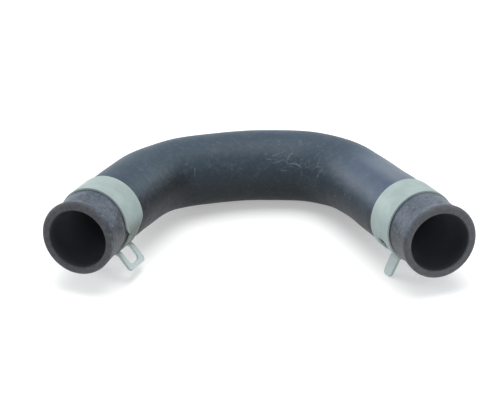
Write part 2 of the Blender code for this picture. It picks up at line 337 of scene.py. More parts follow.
BORE_STEP = 1.5
BORE_REACH = 101.0
bore_edge_depth = [0.0, 0.15 * MM, BORE_CHAMFER, 0.7 * MM]
bore_depth = np.concatenate([bore_edge_depth, np.arange(BORE_STEP, BORE_REACH, BORE_STEP) * MM])
bore_place = np.concatenate([HOSE_LENGTH - bore_depth, bore_depth[::-1]])
depth_in = mouth_depth(bore_place)[0]
bore = np.repeat(bore_radius(bore_place)[:, None], RING_POINTS, axis=1)

share = np.linspace(0, 1, FACE_POINTS + 2)[1:-1, None]
right_face = outside[-1] + (bore[0] - outside[-1]) * share
left_face = bore[-1] + (outside[0] - bore[-1]) * share

face_place = np.zeros(FACE_POINTS)
outline_place = np.concatenate([
    outside_place, face_place + HOSE_LENGTH, bore_place, face_place,
])
outline_radius = np.concatenate([outside, right_face, bore, left_face])
print(len(outline_place), "points round the wall's outline")

# %% What belongs to the cut end, and what lies in the bore
CUT_REACH = 1.7 * MM
CUT_REACH_SWING = 1.2 * MM
CUT_FADE = 2.6 * MM
BORE_FADE_START = 0.1 * MM
BORE_FADE = 1.0 * MM
bore_edge = per_mouth(outline_place, LIP_BORES)[:, None] + BORE_CHAMFER
from_bore = np.clip(outline_radius - bore_edge, 0, None)
from_bore = from_bore + mouth_depth(outline_place)[0][:, None]
cut_reach = CUT_REACH + CUT_REACH_SWING * np.cos(ring_angle - LIP_RAMP_SHORTEST_AT)
outline_cut = 1 - eased((from_bore - cut_reach) / CUT_FADE)
inside_bore = np.concatenate([
    np.zeros(len(outside_place) + FACE_POINTS),
    eased((depth_in - BORE_FADE_START) / BORE_FADE),
    np.zeros(FACE_POINTS),
])
outline_inside = np.repeat(inside_bore[:, None], RING_POINTS, axis=1)
print(round(100 * float(outline_cut.mean())), "percent of the points are on the cut ends")

# %% [markdown]
# ## Swinging the outline round the centreline
#
# At each place a ring is drawn square to the centreline: its angle is 0 on top, and its
# two directions are straight up and square to the heading. A real hose is never quite
# even. Its wall swells and thins by some tenths of a millimetre, and its line strays to a
# side or droops as little. All of this is read off the picture and kept as a few smooth
# humps, each with a place, a height and a spread. A very slight waviness is added. What
# would then sink into the table is pressed flat, as soft rubber is where it rests, and
# stays a hair above the table, so it never shows through it.

# %% Hose surface
WAVE_HEIGHT = 0.04 * MM
WAVE_START = 28.0 * MM
WAVE_FADE = 12.0 * MM
TABLE_CLEARANCE = 0.01 * MM
# each hump: mm along, height in mm, spread in mm
SWELLINGS = ((61.0, -0.28, 7.0), (104.0, 0.23, 26.0), (152.0, -0.44, 17.0))
DROOPS = ((0.0, -0.30, 8.0), (203.4, -0.15, 8.0))
STRAYINGS = (
    (0.0, -0.36, 8.0),
    (77.0, -0.65, 8.0),
    (132.0, -0.40, 9.0),
    (151.0, 0.35, 8.0),
    (203.4, 0.25, 8.0),
)
# each wave: radians per mm along, waves round, start in radians
WAVES = ((0.11, 2, 0.0), (0.19, -1, 1.0), (0.31, 3, 2.0))


def humps(place, table):
    """Sum of humps: height times e to the minus square of the place over the spread."""
    place = place / MM
    return sum(
        height * MM * np.exp(-(((place - middle) / spread) ** 2))
        for middle, height, spread in table
    )


def waviness(place, angle):
    """A few crossed sines along and round the hose, fading out towards both mouths."""
    place_mm = place / MM
    wave = sum(np.sin(place_mm * pace + times * angle + start) for pace, times, start in WAVES)
    share = eased((mouth_depth(place)[0] - WAVE_START) / WAVE_FADE)
    return WAVE_HEIGHT * wave * share


def swing(place, radius):
    """Ring points: centre, plus radius times sine across and cosine up, laid down."""
    centre, heading = centreline(place)
    across = np.stack([-np.sin(heading), np.cos(heading), np.zeros_like(heading)], axis=-1)
    up = np.array([0.0, 0.0, 1.0])
    astray = across * humps(place, STRAYINGS)[:, None]
    centre = centre + astray + up * humps(place, DROOPS)[:, None]
    reach = radius + humps(place, SWELLINGS)[:, None] + waviness(place[:, None], ring_angle)
    ring = centre[:, None] + reach[..., None] * (
        np.sin(ring_angle)[:, None] * across[:, None] + np.cos(ring_angle)[:, None] * up
    )
    ring = laid_down(ring)
    ring[..., 2] = np.maximum(ring[..., 2], TABLE_CLEARANCE)
    return ring


hose_points = swing(outline_place, outline_radius)
uv_place = np.append(outline_place, outline_place[0])
uv_angle = np.append(ring_angle, np.pi)
hose_uv = np.stack(np.meshgrid(uv_place, uv_angle * BODY_RADIUS, indexing="ij"), axis=-1)
hose = grid_piece("rubber_hose", hose_points, hose_uv, True, True)
if enclosed_volume(hose.data) < 0:
    hose.data.flip_normals()
print("rubber fills", round(enclosed_volume(hose.data) / (10 * MM) ** 3, 1), "cubic cm")

# %% Numbers that the rubber's finish will read


def keep_values(piece, title, values):
    """One number for each point of a piece, kept in its mesh under a title."""
    layer = piece.data.attributes.new(title, "FLOAT", "POINT")
    layer.data.foreach_set("value", values.reshape(-1).astype(np.float32))


keep_values(hose, "cut_end", outline_cut)
keep_values(hose, "inside", outline_inside)
print(len(hose.data.polygons), "faces on the hose")

# %% [markdown]
# ## The spring band clamp
#
# Each clamp is one strip of spring steel. It starts as the loop ear, a frame that sticks
# straight out. It then rolls once round the hose. Its last stretch narrows to a tongue,
# which passes through the loop's slot and turns outwards as the tab ear. The way to draw
# it is to follow the strip from end to end, as its blank lay flat before bending: each
# station has a place, a half width, and where the slot is, the slot's half width.

# %% Clamp sizes
STEEL = 0.8 * MM
BAND_RADIUS = 12.75 * MM + STEEL / 2
TONGUE_WIDTH = 5.6 * MM
SLOT_WIDTH = 6.6 * MM
SLOT_CORNER = 1.8 * MM
EAR_BEND = 1.8 * MM + STEEL / 2
LOOP_TIP = 21.7 * MM
LOOP_REACH = 8.7 * MM
LOOP_BASE_WIDTH = 11.2 * MM
LOOP_TIP_WIDTH = 11.4 * MM
LOOP_CORNER = 1.6 * MM
LOOP_BAR = 1.9 * MM
TAB_TIP = 21.9 * MM
TAB_REACH = 8.9 * MM
TAB_TIP_WIDTH = 5.0 * MM
TAB_CORNER = 1.7 * MM
LOOP_ANGLE = 41.0
EAR_SPREAD = 67.0
SLOT_END = 110.0
TAPER_START = 306.0
TAPER_END = 330.0
CORNER_STEPS = 7
BAND_TURN_STEP = 2.0


def corner_inset(distance, radius):
    """How far a round corner stands back from its edge: the radius less a circle's height."""
    into = np.clip(radius - distance, 0, radius)
    return radius - np.sqrt(radius**2 - into**2)


def corner_places(radius):
    """Distances from a tip at which a quarter circle is drawn, in equal angles."""
    return radius * (1 - np.cos(np.linspace(0, np.pi / 2, CORNER_STEPS)))


def ring_direction(turn):
    """Unit vectors outwards and onwards, at degrees round from the loop ear."""
    angle = np.radians(LOOP_ANGLE - np.asarray(turn, float))
    outwards = np.stack([np.sin(angle), -np.cos(angle)], axis=-1)
    onwards = np.stack([-np.cos(angle), -np.sin(angle)], axis=-1)
    return outwards, onwards


print("band", BAND_WIDTH / MM, "mm wide,", round(2 * BAND_RADIUS / MM, 1), "mm across")

# %% [markdown]
# ## Ears
#
# An ear runs straight in towards the hose and then bends onto the ring. The bend is an arc
# that touches both, so its centre lies one bend radius beside the ear and at the height
# where the two circles meet. The loop ear and the tab ear differ only in the side that
# they bend to, so one function draws both.

# %% Path of an ear
BEND_STEPS = 9
STRAIGHT_STEPS = 14
SHORTEST_STEP = 0.02 * MM


def ear_path(turn, side, depths, tip):
    """Places and depths: straight in from the tip, then an arc that touches the ring."""
    outwards, onwards = ring_direction(turn)
    lean_in = math.asin(EAR_BEND / (BAND_RADIUS + EAR_BEND))
    foot = math.sqrt((BAND_RADIUS + EAR_BEND) ** 2 - EAR_BEND**2)
    straight = np.unique(np.concatenate([depths, np.linspace(0, tip - foot, STRAIGHT_STEPS)]))
    straight = straight[straight < tip - foot - SHORTEST_STEP]
    down = outwards * (tip - straight)[:, None]
    angle = (np.pi / 2 - lean_in) * np.arange(BEND_STEPS) / BEND_STEPS
    centre = outwards * foot + onwards * (side * EAR_BEND)
    arc = centre - EAR_BEND * (
        side * np.cos(angle)[:, None] * onwards + np.sin(angle)[:, None] * outwards
    )
    places = np.concatenate([down, arc])
    depths_there = np.concatenate([straight, tip - foot + EAR_BEND * angle])
    return places, depths_there, math.degrees(lean_in)


print("ears bend on a radius of", round(EAR_BEND / MM, 1), "mm")

# %% Loop ear
SAME_LENGTH = 1e-9
slot_depths = LOOP_BAR + corner_places(SLOT_CORNER)
loop_depths = np.concatenate([corner_places(LOOP_CORNER), slot_depths])
loop_place, loop_depth, bend_lean = ear_path(0.0, 1, loop_depths, LOOP_TIP)
loop_share = eased(loop_depth / LOOP_REACH)
loop_half = (LOOP_TIP_WIDTH + (LOOP_BASE_WIDTH - LOOP_TIP_WIDTH) * loop_share) / 2
loop_half = loop_half - corner_inset(loop_depth, LOOP_CORNER)
loop_slot = SLOT_WIDTH / 2 - corner_inset(loop_depth - LOOP_BAR, SLOT_CORNER)
loop_slot[loop_depth < LOOP_BAR - SAME_LENGTH] = np.nan
print(len(loop_half), "stations on the loop ear")

# %% Ring
SAME_TURN = 1e-6
SLOT_CLEAR = 0.5
ring_end = 360.0 + EAR_SPREAD - bend_lean
turns = np.linspace(bend_lean, ring_end, int((ring_end - bend_lean) / BAND_TURN_STEP))
slot_turns = SLOT_END - np.degrees(corner_places(SLOT_CORNER) / BAND_RADIUS)
off_slot_end = (turns < slot_turns.min() - SLOT_CLEAR) | (turns > SLOT_END + SLOT_CLEAR)
turns = np.sort(np.concatenate([turns[off_slot_end], slot_turns]))
ring_place = ring_direction(turns)[0] * BAND_RADIUS
widening = LOOP_BASE_WIDTH + (BAND_WIDTH - LOOP_BASE_WIDTH) * eased(turns / SLOT_END)
taper = eased((turns - TAPER_START) / (TAPER_END - TAPER_START))
ring_half = (widening + (TONGUE_WIDTH - BAND_WIDTH) * taper) / 2
to_slot_end = np.radians(SLOT_END - turns) * BAND_RADIUS
ring_slot = SLOT_WIDTH / 2 - corner_inset(to_slot_end, SLOT_CORNER)
ring_slot[turns > SLOT_END + SAME_TURN] = np.nan
print(len(turns), "stations on the ring")

# %% Tab ear
tab_place, tab_depth, _ = ear_path(360.0 + EAR_SPREAD, -1, corner_places(TAB_CORNER), TAB_TIP)
tab_share = np.clip(tab_depth / TAB_REACH, 0, 1)
tab_half = (TAB_TIP_WIDTH + (TONGUE_WIDTH - TAB_TIP_WIDTH) * tab_share) / 2
tab_half = tab_half - corner_inset(tab_depth, TAB_CORNER)
print(len(tab_half), "stations on the tab ear")

# %% The whole strip, where it is darker, and where the ears are painted paler as painted light
# all in degrees round the ring
DARKER_LOW_START = 296.0
DARKER_LOW_RISE = 26.0
DARKER_LOW_END = 376.0
DARKER_LOW_FALL = 24.0
LOOP_COAT_END = 20.0
TAB_COAT_START = 408.0
EAR_COAT_FADE = 14.0

strip_place = np.concatenate([loop_place, ring_place, tab_place[::-1]])
strip_half = np.concatenate([loop_half, ring_half, tab_half[::-1]])
strip_slot = np.concatenate([loop_slot, ring_slot, np.full(len(tab_half), np.nan)])
strip_steps = np.linalg.norm(np.diff(strip_place, axis=0), axis=1)
strip_run = np.concatenate([[0.0], np.cumsum(strip_steps)])
# Darker low on the ring, where the tongue leaves it.
darker_low = eased((turns - DARKER_LOW_START) / DARKER_LOW_RISE) * eased((DARKER_LOW_END - turns) / DARKER_LOW_FALL)
strip_darker_low = np.concatenate([np.zeros_like(loop_half), darker_low, np.zeros_like(tab_half)])
near_loop = eased((LOOP_COAT_END - turns) / EAR_COAT_FADE)
near_tab = eased((turns - TAB_COAT_START) / EAR_COAT_FADE)
on_ring = near_loop + near_tab
strip_ear = np.concatenate([np.ones_like(loop_half), on_ring, np.ones_like(tab_half)])
print(len(strip_run), "stations along", round(strip_run[-1] / MM, 1), "mm of strip")

# %% [markdown]
# ## From the strip to a clamp
#
# Across the strip there are four lines of points: its two edges, and the two sides of the
# slot. Where there is no slot, the two inner lines lie part of the way in. The faces
# between them are left out where the slot is, which opens it. A Solidify modifier then
# gives the sheet its thickness, and marks the sheared rim with a material of its own. A
# Bevel breaks all the sharp edges, as tumbling does after the strip is stamped.

# %% Clamp sheet
INNER_LINES_AT = 0.5


def clamp_frame(setback, side):
    """Matrix at a setback from a mouth: Z out of the mouth, Y up in the hose's plane."""
    centre, heading = centreline(setback if side < 0 else HOSE_LENGTH - setback)
    out = np.array([math.cos(heading), math.sin(heading), 0.0]) * side
    up = np.array([0.0, 0.0, 1.0])
    return np.stack([np.cross(up, out), up, out], axis=-1), centre


def clamp_sheet(name, setback, side):
    """Strip stations set across the clamp's axis, less the faces where the slot is."""
    slotted = ~np.isnan(strip_slot)
    inner = np.where(slotted, np.nan_to_num(strip_slot), strip_half * INNER_LINES_AT)
    across = np.stack([-strip_half, -inner, inner, strip_half], axis=-1)
    flat = np.broadcast_to(strip_place[:, None], across.shape + (2,))
    local = np.concatenate([flat, across[..., None]], axis=-1)
    turn, centre = clamp_frame(setback, side)
    uv = np.stack([np.broadcast_to(strip_run[:, None], across.shape), across], axis=-1)
    piece = grid_piece(name, laid_down(local @ turn.T + centre), uv, False, False)
    keep_values(piece, "from_edge", strip_half[:, None] - np.abs(across))
    keep_values(piece, "low_tint", np.repeat(strip_darker_low, across.shape[1]))
    keep_values(piece, "on_ear", np.repeat(strip_ear, across.shape[1]))
    rows = np.arange(len(strip_run) - 1)
    faces_across = across.shape[1] - 1
    window = rows[slotted[:-1] & slotted[1:]] * faces_across + faces_across // 2
    remove_faces(piece.data, window)
    return piece


def remove_faces(mesh, indices):
    """Delete faces by index, keeping every point, since each still has a neighbour."""
    sheet = bmesh.new()
    sheet.from_mesh(mesh)
    sheet.faces.ensure_lookup_table()
    bmesh.ops.delete(sheet, geom=[sheet.faces[int(i)] for i in indices], context="FACES")
    sheet.to_mesh(mesh)
    sheet.free()


left_clamp = clamp_sheet("left_spring_clamp", LEFT_SETBACK, -1)
right_clamp = clamp_sheet("right_spring_clamp", RIGHT_SETBACK, 1)

# %% Thickness and broken edges
EDGE_BREAK = 0.16 * MM
EDGE_STEPS = 3
EDGE_TURN = math.radians(50)
RIM_SLOT = 1

for clamp in (left_clamp, right_clamp):
    thick = clamp.modifiers.new("strip_thickness", "SOLIDIFY")
    thick.thickness = STEEL
    thick.offset = 0.0
    thick.material_offset_rim = RIM_SLOT
    soft = clamp.modifiers.new("broken_edges", "BEVEL")
    soft.width = EDGE_BREAK
    soft.segments = EDGE_STEPS
    soft.limit_method = "ANGLE"
    soft.angle_limit = EDGE_TURN
print("clamps of", STEEL / MM, "mm strip")

# %% [markdown]
# ## Finishes: the node helpers
#
# A finish is a small tree of nodes. To keep the cells short, one helper adds a node, sets
# what it is told, and links what it is given: a socket is linked, any other value is set.
# The others are short names for the nodes that are used most.

# %% Node helpers


def add(tree, kind, inputs=(), **settings):
    """One node: settings are its own, inputs are values or sockets by name or number."""
    node = tree.nodes.new(kind)
    for key, value in settings.items():
        setattr(node, key, value)
    for key, value in dict(inputs).items():
        if isinstance(value, bpy.types.NodeSocket):
            tree.links.new(value, node.inputs[key])
        else:
            node.inputs[key].default_value = value
    return node


def number(tree, operation, *values):
    """A Math node's result."""
    return add(tree, "ShaderNodeMath", dict(enumerate(values)), operation=operation).outputs[0]


def product(tree, first, *others):
    """All the values multiplied, one Math node after another."""
    for other in others:
        first = number(tree, "MULTIPLY", first, other)
    return first


def ramp(tree, value, low, high, to_low=0.0, to_high=1.0):
    """A value moved smoothly from one range to another, held at both ends."""
    sizes = {"From Min": low, "From Max": high, "To Min": to_low, "To Max": to_high}
    look = {"interpolation_type": "SMOOTHSTEP", "clamp": False}
    return add(tree, "ShaderNodeMapRange", {"Value": value, **sizes}, **look).outputs[0]


def noise(tree, place, scale, detail=4.0, roughness=0.55):
    """Noise between 0 and 1 on some coordinates, in lumps of one over the scale."""
    sizes = {"Vector": place, "Scale": scale, "Detail": detail, "Roughness": roughness}
    return add(tree, "ShaderNodeTexNoise", sizes).outputs["Fac"]


def blend_colour(tree, share, low, high):
    """Two colours mixed by a share."""
    factor_socket, low_socket, high_socket, result_socket = 0, 6, 7, 2
    inputs = {factor_socket: share, low_socket: low, high_socket: high}
    return add(tree, "ShaderNodeMix", inputs, data_type="RGBA").outputs[result_socket]


def new_finish(name):
    """An empty Principled material, its tree and its shader."""
    material = bpy.data.materials.new(name)
    material.use_nodes = True
    return material, material.node_tree, material.node_tree.nodes["Principled BSDF"]


print("node helpers ready")

# %% [markdown]
# ## Scuffs, rubbed patches and specks
#
# The upper side of the hose carries some thin, pale scuffs. Each is a short arc on the
# skin, so it is drawn on the UV map, whose two numbers are metres along and round the
# hose. A Mapping node of the kind that undoes a place, a turn and a size brings each arc to
# the same square, from -1 to 1 both ways. There it is a line bent by its own square, and it
# fades at its ends. Where the hose was rubbed there are soft oval patches of fine streaks,
# and here and there is a small pale speck. Both are brought to the same square.

# %% Where the scuffs, rubbed patches and specks are
SCUFFS = (
    # mm along, mm round, degrees, half length, sag, strength
    (108.0, -13.8, 15, 2.6, -0.34, 0.55),
    (111.4, -14.0, -40, 1.4, 0.14, 0.40),
    (116.0, -15.4, -10, 3.9, 0.66, 0.85),
    (113.3, -12.1, 54, 2.2, 0.61, 0.60),
    (110.6, -17.2, 1, 1.8, -0.03, 0.35),
    (134.6, -16.7, 46, 3.6, 0.51, 0.60),
    (130.0, -12.4, 84, 2.6, -1.20, 0.45),
    (104.1, -13.1, -6, 1.5, -0.09, 0.40),
    (107.1, -11.4, 17, 2.0, -0.13, 0.45),
    (124.6, -16.4, 178, 3.1, -1.06, 0.30),
    (121.5, -14.7, 90, 0.6, -0.05, 0.40),
    (132.5, -14.3, 8, 2.8, 0.25, 0.40),
    (122.3, -14.6, 80, 1.3, 0.10, 0.35),
    (128.4, -10.4, 62, 2.2, 0.30, 0.25),
    (119.0, -12.6, 25, 1.8, -0.30, 0.25),
    (69.3, -15.7, -108, 1.9, -0.03, 0.55),
    (5.4, -19.6, -111, 0.9, 0.15, 0.70),
    (0.9, -20.2, -83, 1.1, -0.01, 0.45),
    (202.3, -5.2, 75, 1.7, -0.07, 0.85),
)
RUBS = (
    # mm along, mm round, degrees, half length, half width
    (115.0, -13.6, -8, 15.0, 5.0),
    (133.0, -15.5, 50, 9.0, 5.5),
    (152.0, -14.0, 5, 14.0, 4.0),
    (124.0, -21.5, 0, 13.0, 4.5),
)
SPECKS = (
    # mm along, mm round, half size, strength
    (116.9, -5.1, 0.55, 0.45),
    (126.2, -6.3, 0.45, 0.50),
    (129.7, -7.7, 0.40, 0.60),
    (108.3, -7.2, 0.40, 0.35),
    (102.9, -11.1, 0.50, 0.45),
    (154.7, -18.6, 0.35, 0.75),
    (147.4, -22.2, 0.60, 0.45),
    (66.1, -12.0, 0.60, 0.50),
    (126.6, -14.6, 0.45, 0.50),
    (128.0, -13.8, 0.50, 0.50),
    (119.8, -17.6, 0.90, 0.25),
    (198.4, -16.0, 0.40, 0.60),
)
print(len(SCUFFS), "scuffs,", len(RUBS), "rubbed patches and", len(SPECKS), "specks")

# %% How each of them is drawn
SCUFF_WIDTH = 0.42 * MM
SPECK_TURN = 20
SPECK_STRETCH = 1.3
STREAKS_ALONG = 2.2
STREAKS_ACROSS = 6.0
STREAK_NOISE = (2.4, 4.0, 0.65)


def squared_place(tree, uv, along, round_, angle, half_length, half_width):
    """The UV place, seen from a mark: x and y run from -1 to 1 across it."""
    node = add(tree, "ShaderNodeMapping", {"Vector": uv}, vector_type="TEXTURE")
    node.inputs["Location"].default_value = (along * MM, round_ * MM, 0)
    node.inputs["Rotation"].default_value = (0, 0, math.radians(angle))
    node.inputs["Scale"].default_value = (half_length, half_width, 1)
    split = add(tree, "ShaderNodeSeparateXYZ", {"Vector": node.outputs[0]})
    return split.outputs[0], split.outputs[1]


def squares_summed(tree, x, y):
    """x squared plus y squared: it is 1 on a circle that just fits the square."""
    return number(tree, "MULTIPLY_ADD", x, x, number(tree, "MULTIPLY", y, y))


def scuff_mask(tree, uv):
    """The strongest of all scuffs and specks: 1 in the middle of each, fading off it."""
    strongest = 0.0
    for along, round_, angle, half, sag, strength in SCUFFS:
        x, y = squared_place(tree, uv, along, round_, angle, half * MM, SCUFF_WIDTH)
        x_squared = number(tree, "MULTIPLY", x, x)
        bend = sag * MM / SCUFF_WIDTH
        line = number(tree, "MULTIPLY_ADD", x_squared, -bend, bend)
        apart = squares_summed(tree, number(tree, "SUBTRACT", y, line), x_squared)
        mark = ramp(tree, apart, 1.2, 0.0, 0.0, strength)
        strongest = number(tree, "MAXIMUM", strongest, mark)
    for along, round_, size, strength in SPECKS:
        half = size * SPECK_STRETCH * MM
        x, y = squared_place(tree, uv, along, round_, SPECK_TURN, half, size * MM)
        mark = ramp(tree, squares_summed(tree, x, y), 1.0, 0.0, 0.0, strength)
        strongest = number(tree, "MAXIMUM", strongest, mark)
    return strongest


def rub_mask(tree, uv):
    """Soft oval patches of fine streaks: each is strongest in its middle."""
    strongest = 0.0
    for along, round_, angle, length, width in RUBS:
        x, y = squared_place(tree, uv, along, round_, angle, length * MM, width * MM)
        thin_x = product(tree, x, STREAKS_ALONG)
        thin_y = product(tree, y, STREAKS_ACROSS)
        thin = add(tree, "ShaderNodeCombineXYZ", {"X": thin_x, "Y": thin_y}).outputs[0]
        lines = ramp(tree, noise(tree, thin, *STREAK_NOISE), 0.50, 0.74)
        patch = product(tree, lines, ramp(tree, squares_summed(tree, x, y), 1.0, 0.1))
        strongest = number(tree, "MAXIMUM", strongest, patch)
    return strongest


print("a scuff is", SCUFF_WIDTH / MM, "mm to each side of its line")

# %% [markdown]
# ## Rubber
#
# The rubber is a charcoal compound with a slate bloom: a faint blue dust that has come to
# the surface. It is thickest on the upper side and on the two stubs outside the clamps,
# where it is also mottled, grained and, lower down, soiled. The darker underside is partly
# painted shade, and so is the darker inner side of the left leg. Pale blue patches on the
# right leg and along its top are partly bloom and partly painted highlight. The cut ends are
# browner and rougher, because a knife went through them there, and the right one is painted
# paler as painted light. The bore is nearly black at its mouths, though painted lighter than
# the skin, and lighter still further in: painted light in a recess. All of it is one
# material, so the bloom can thin out with no border: the shares come from the attributes and
# the UV map.

# %% Rubber colours
CHARCOAL = (0.0030, 0.0052, 0.0072, 1)
SLATE = (0.0290, 0.0500, 0.0720, 1)
BLOOM = (0.0700, 0.0840, 0.1080, 1)
BLUE_BLOOM_AND_SHEEN = (0.0690, 0.0960, 0.1480, 1)
BLOOM_GREY = (0.0620, 0.0740, 0.0910, 1)
SOIL = (0.0780, 0.0735, 0.0700, 1)
PALE_BLOOM_AND_SHEEN = (0.1500, 0.1750, 0.2050, 1)
PALE_DUST = (0.2400, 0.2700, 0.3000, 1)
CUT_PALE = (0.0910, 0.0930, 0.1030, 1)
CUT_DARK = (0.0385, 0.0405, 0.0450, 1)
BORE_BLACK = (0.0200, 0.0215, 0.0260, 1)
BORE_PAINTED_LIGHT = (0.1000, 0.1050, 0.1250, 1)

# %% Noises, each in lumps per metre, layers and roughness
CLOUDS = (45.0, 5.0, 0.6)
MOTTLE = (260.0, 4.0, 0.6)
GRAIN = (1500.0, 3.0, 0.6)
FLECKS = (620.0, 3.0, 0.65)
PALE_GRAIN = (1100.0, 2.0, 0.7)
DARK_GRAIN = (800.0, 3.0, 0.7)
WORN = (900.0, 2.0, 0.55)
SAW = (700.0, 4.0, 0.7)

# %% Where each share of the finish starts to change, and where it has changed
# metres along the hose from its left mouth
RIGHT_HALF = (0.3 * HOSE_LENGTH, 0.7 * HOSE_LENGTH)
LEFT_LEG_SHADE_ALONG = (75.0 * MM, 55.0 * MM)
RIGHT_LEG_ALONG = (124.0 * MM, 158.0 * MM)
UNDERSIDE_RISE = (112.0 * MM, 128.0 * MM)
UNDERSIDE_FALL = (160.0 * MM, 142.0 * MM)
TOP_SHEEN_ALONG = (138.0 * MM, 168.0 * MM)
# metres in from the nearer mouth
STUB_DEPTH = (15.0 * MM, 12.0 * MM)
LIP_SHADE_DEPTH = (1.0 * MM, 4.5 * MM)
DUSTIER_DEPTH = (18.0 * MM, 12.0 * MM)
BORE_LIGHT_DEPTH = (3.0 * MM, 22.0 * MM)
# radians round from the top, less than 0 towards the inner side of the U
LEFT_LEG_SHADE_ROUND = (-0.80, -1.30)
RIGHT_LEG_ROUND = (-1.45, -0.75)
UNDERSIDE_ROUND = (-1.10, -1.50)
TOP_SHEEN_INNER = (-0.45, -0.05)
TOP_SHEEN_OUTER = (0.75, 0.35)
STUB_INNER = (-0.85, -1.50)
SOILED_ROUND = (-1.15, -1.90)

# %% Where on the hose a point is
rubber, tree, shader = new_finish("moulded_rubber")
place = add(tree, "ShaderNodeTexCoord").outputs["Object"]
uv = add(tree, "ShaderNodeUVMap", uv_map="metres").outputs[0]
uv_split = add(tree, "ShaderNodeSeparateXYZ", {"Vector": uv})
along_hose, round_hose = uv_split.outputs[0], uv_split.outputs[1]
cut_end = add(tree, "ShaderNodeAttribute", attribute_name="cut_end").outputs["Fac"]
inside = add(tree, "ShaderNodeAttribute", attribute_name="inside").outputs["Fac"]

half_length = HOSE_LENGTH / 2
from_middle = number(tree, "ABSOLUTE", number(tree, "SUBTRACT", along_hose, half_length))
depth = number(tree, "SUBTRACT", half_length, from_middle)
angle = number(tree, "DIVIDE", round_hose, BODY_RADIUS)
# upper is 0 underneath and 1 on top. It thickens the bloom upwards, and the darker underside
# that it leaves is partly painted shade.
upper = ramp(tree, number(tree, "COSINE", angle), -0.60, 0.95)
to_right = ramp(tree, along_hose, *RIGHT_HALF)
print(len(tree.nodes), "nodes say where on the hose a point is")

# %% Bloom on the body, with painted shade and painted highlights
clouds = noise(tree, place, *CLOUDS)
mottle = noise(tree, place, *MOTTLE)
grain = noise(tree, place, *GRAIN)
cloudy = ramp(tree, clouds, 0.3, 0.75, 0.0, 0.30)
patchy = number(tree, "MULTIPLY_ADD", ramp(tree, mottle, 0.3, 0.8), 0.16, cloudy)
# Painted shade: low on the inner side of the left leg the bloom is taken away, which darkens
# it.
left_leg_shade = product(
    tree,
    ramp(tree, along_hose, *LEFT_LEG_SHADE_ALONG),
    ramp(tree, angle, *LEFT_LEG_SHADE_ROUND, 0.0, 0.95),
)
# Partly bloom and partly painted shade: slate on top, charcoal on the underside.
bloom_and_shade = product(
    tree,
    upper,
    number(tree, "ADD", patchy, 0.68),
    number(tree, "SUBTRACT", 1.0, left_leg_shade),
)
skin = blend_colour(tree, number(tree, "MINIMUM", bloom_and_shade, 1.0), CHARCOAL, SLATE)
# Partly bloom and partly painted highlight: a pale blue patch on the inner upper side of the
# right leg.
right_leg_bloom_and_sheen = product(
    tree,
    ramp(tree, along_hose, *RIGHT_LEG_ALONG),
    ramp(tree, angle, *RIGHT_LEG_ROUND),
    ramp(tree, clouds, 0.25, 0.75, 0.35, 0.75),
)
skin = blend_colour(tree, right_leg_bloom_and_sheen, skin, BLUE_BLOOM_AND_SHEEN)
# A faint pale blue tint under the middle, towards the right.
underside = product(
    tree,
    ramp(tree, angle, *UNDERSIDE_ROUND),
    ramp(tree, along_hose, *UNDERSIDE_RISE),
    ramp(tree, along_hose, *UNDERSIDE_FALL, 0.0, 0.07),
)
skin = blend_colour(tree, underside, skin, BLUE_BLOOM_AND_SHEEN)
# Partly bloom and partly painted highlight: a pale strip along the top of the right leg, where
# the rubber shows a pale rim.
top_sheen_strip = product(
    tree,
    ramp(tree, angle, *TOP_SHEEN_INNER),
    ramp(tree, angle, *TOP_SHEEN_OUTER),
    ramp(tree, along_hose, *TOP_SHEEN_ALONG, 0.0, 0.55),
)
skin = blend_colour(tree, top_sheen_strip, skin, PALE_BLOOM_AND_SHEEN)
print(len(tree.nodes), "nodes with the bloom on the body")

# %% Bloom, soil and grain on the stubs, with a little painted shade at the lips
stub = ramp(tree, depth, *STUB_DEPTH)
flecks = noise(tree, place, *FLECKS)
blotches = ramp(tree, mottle, 0.30, 0.70, 0.15, 0.60)
stub_bloom = product(
    tree,
    stub,
    number(tree, "MULTIPLY_ADD", ramp(tree, flecks, 0.36, 0.66), 0.55, blotches),
    ramp(tree, upper, 0.0, 0.7, 0.62, 1.0),
    # painted shade: less bloom right behind the lip dims the light line at its crest
    ramp(tree, depth, *LIP_SHADE_DEPTH, 0.85, 1.0),
    ramp(tree, angle, *STUB_INNER, 1.0, 0.60),
)
skin = blend_colour(tree, stub_bloom, skin, blend_colour(tree, to_right, BLOOM, BLOOM_GREY))
low_tint = product(
    tree,
    stub,
    ramp(tree, angle, *SOILED_ROUND),
    ramp(tree, mottle, 0.25, 0.65, 0.25, 0.80),
)
skin = blend_colour(tree, low_tint, skin, SOIL)
haze = product(
    tree,
    ramp(tree, flecks, 0.40, 0.72),
    ramp(tree, mottle, 0.30, 0.75, 0.02, 0.20),
    ramp(tree, upper, 0.1, 0.7, 0.20, 1.0),
)
skin = blend_colour(tree, haze, skin, PALE_BLOOM_AND_SHEEN)
pale_grain = ramp(tree, noise(tree, place, *PALE_GRAIN), 0.50, 0.72)
pale_grain = product(tree, pale_grain, ramp(tree, mottle, 0.35, 0.65, 0.12, 0.58))
skin = blend_colour(tree, product(tree, stub, pale_grain), skin, PALE_BLOOM_AND_SHEEN)
dark_grain = ramp(tree, noise(tree, place, *DARK_GRAIN), 0.48, 0.32, 0.0, 0.60)
skin = blend_colour(tree, product(tree, stub, dark_grain), skin, CHARCOAL)
print(len(tree.nodes), "nodes with the stubs")

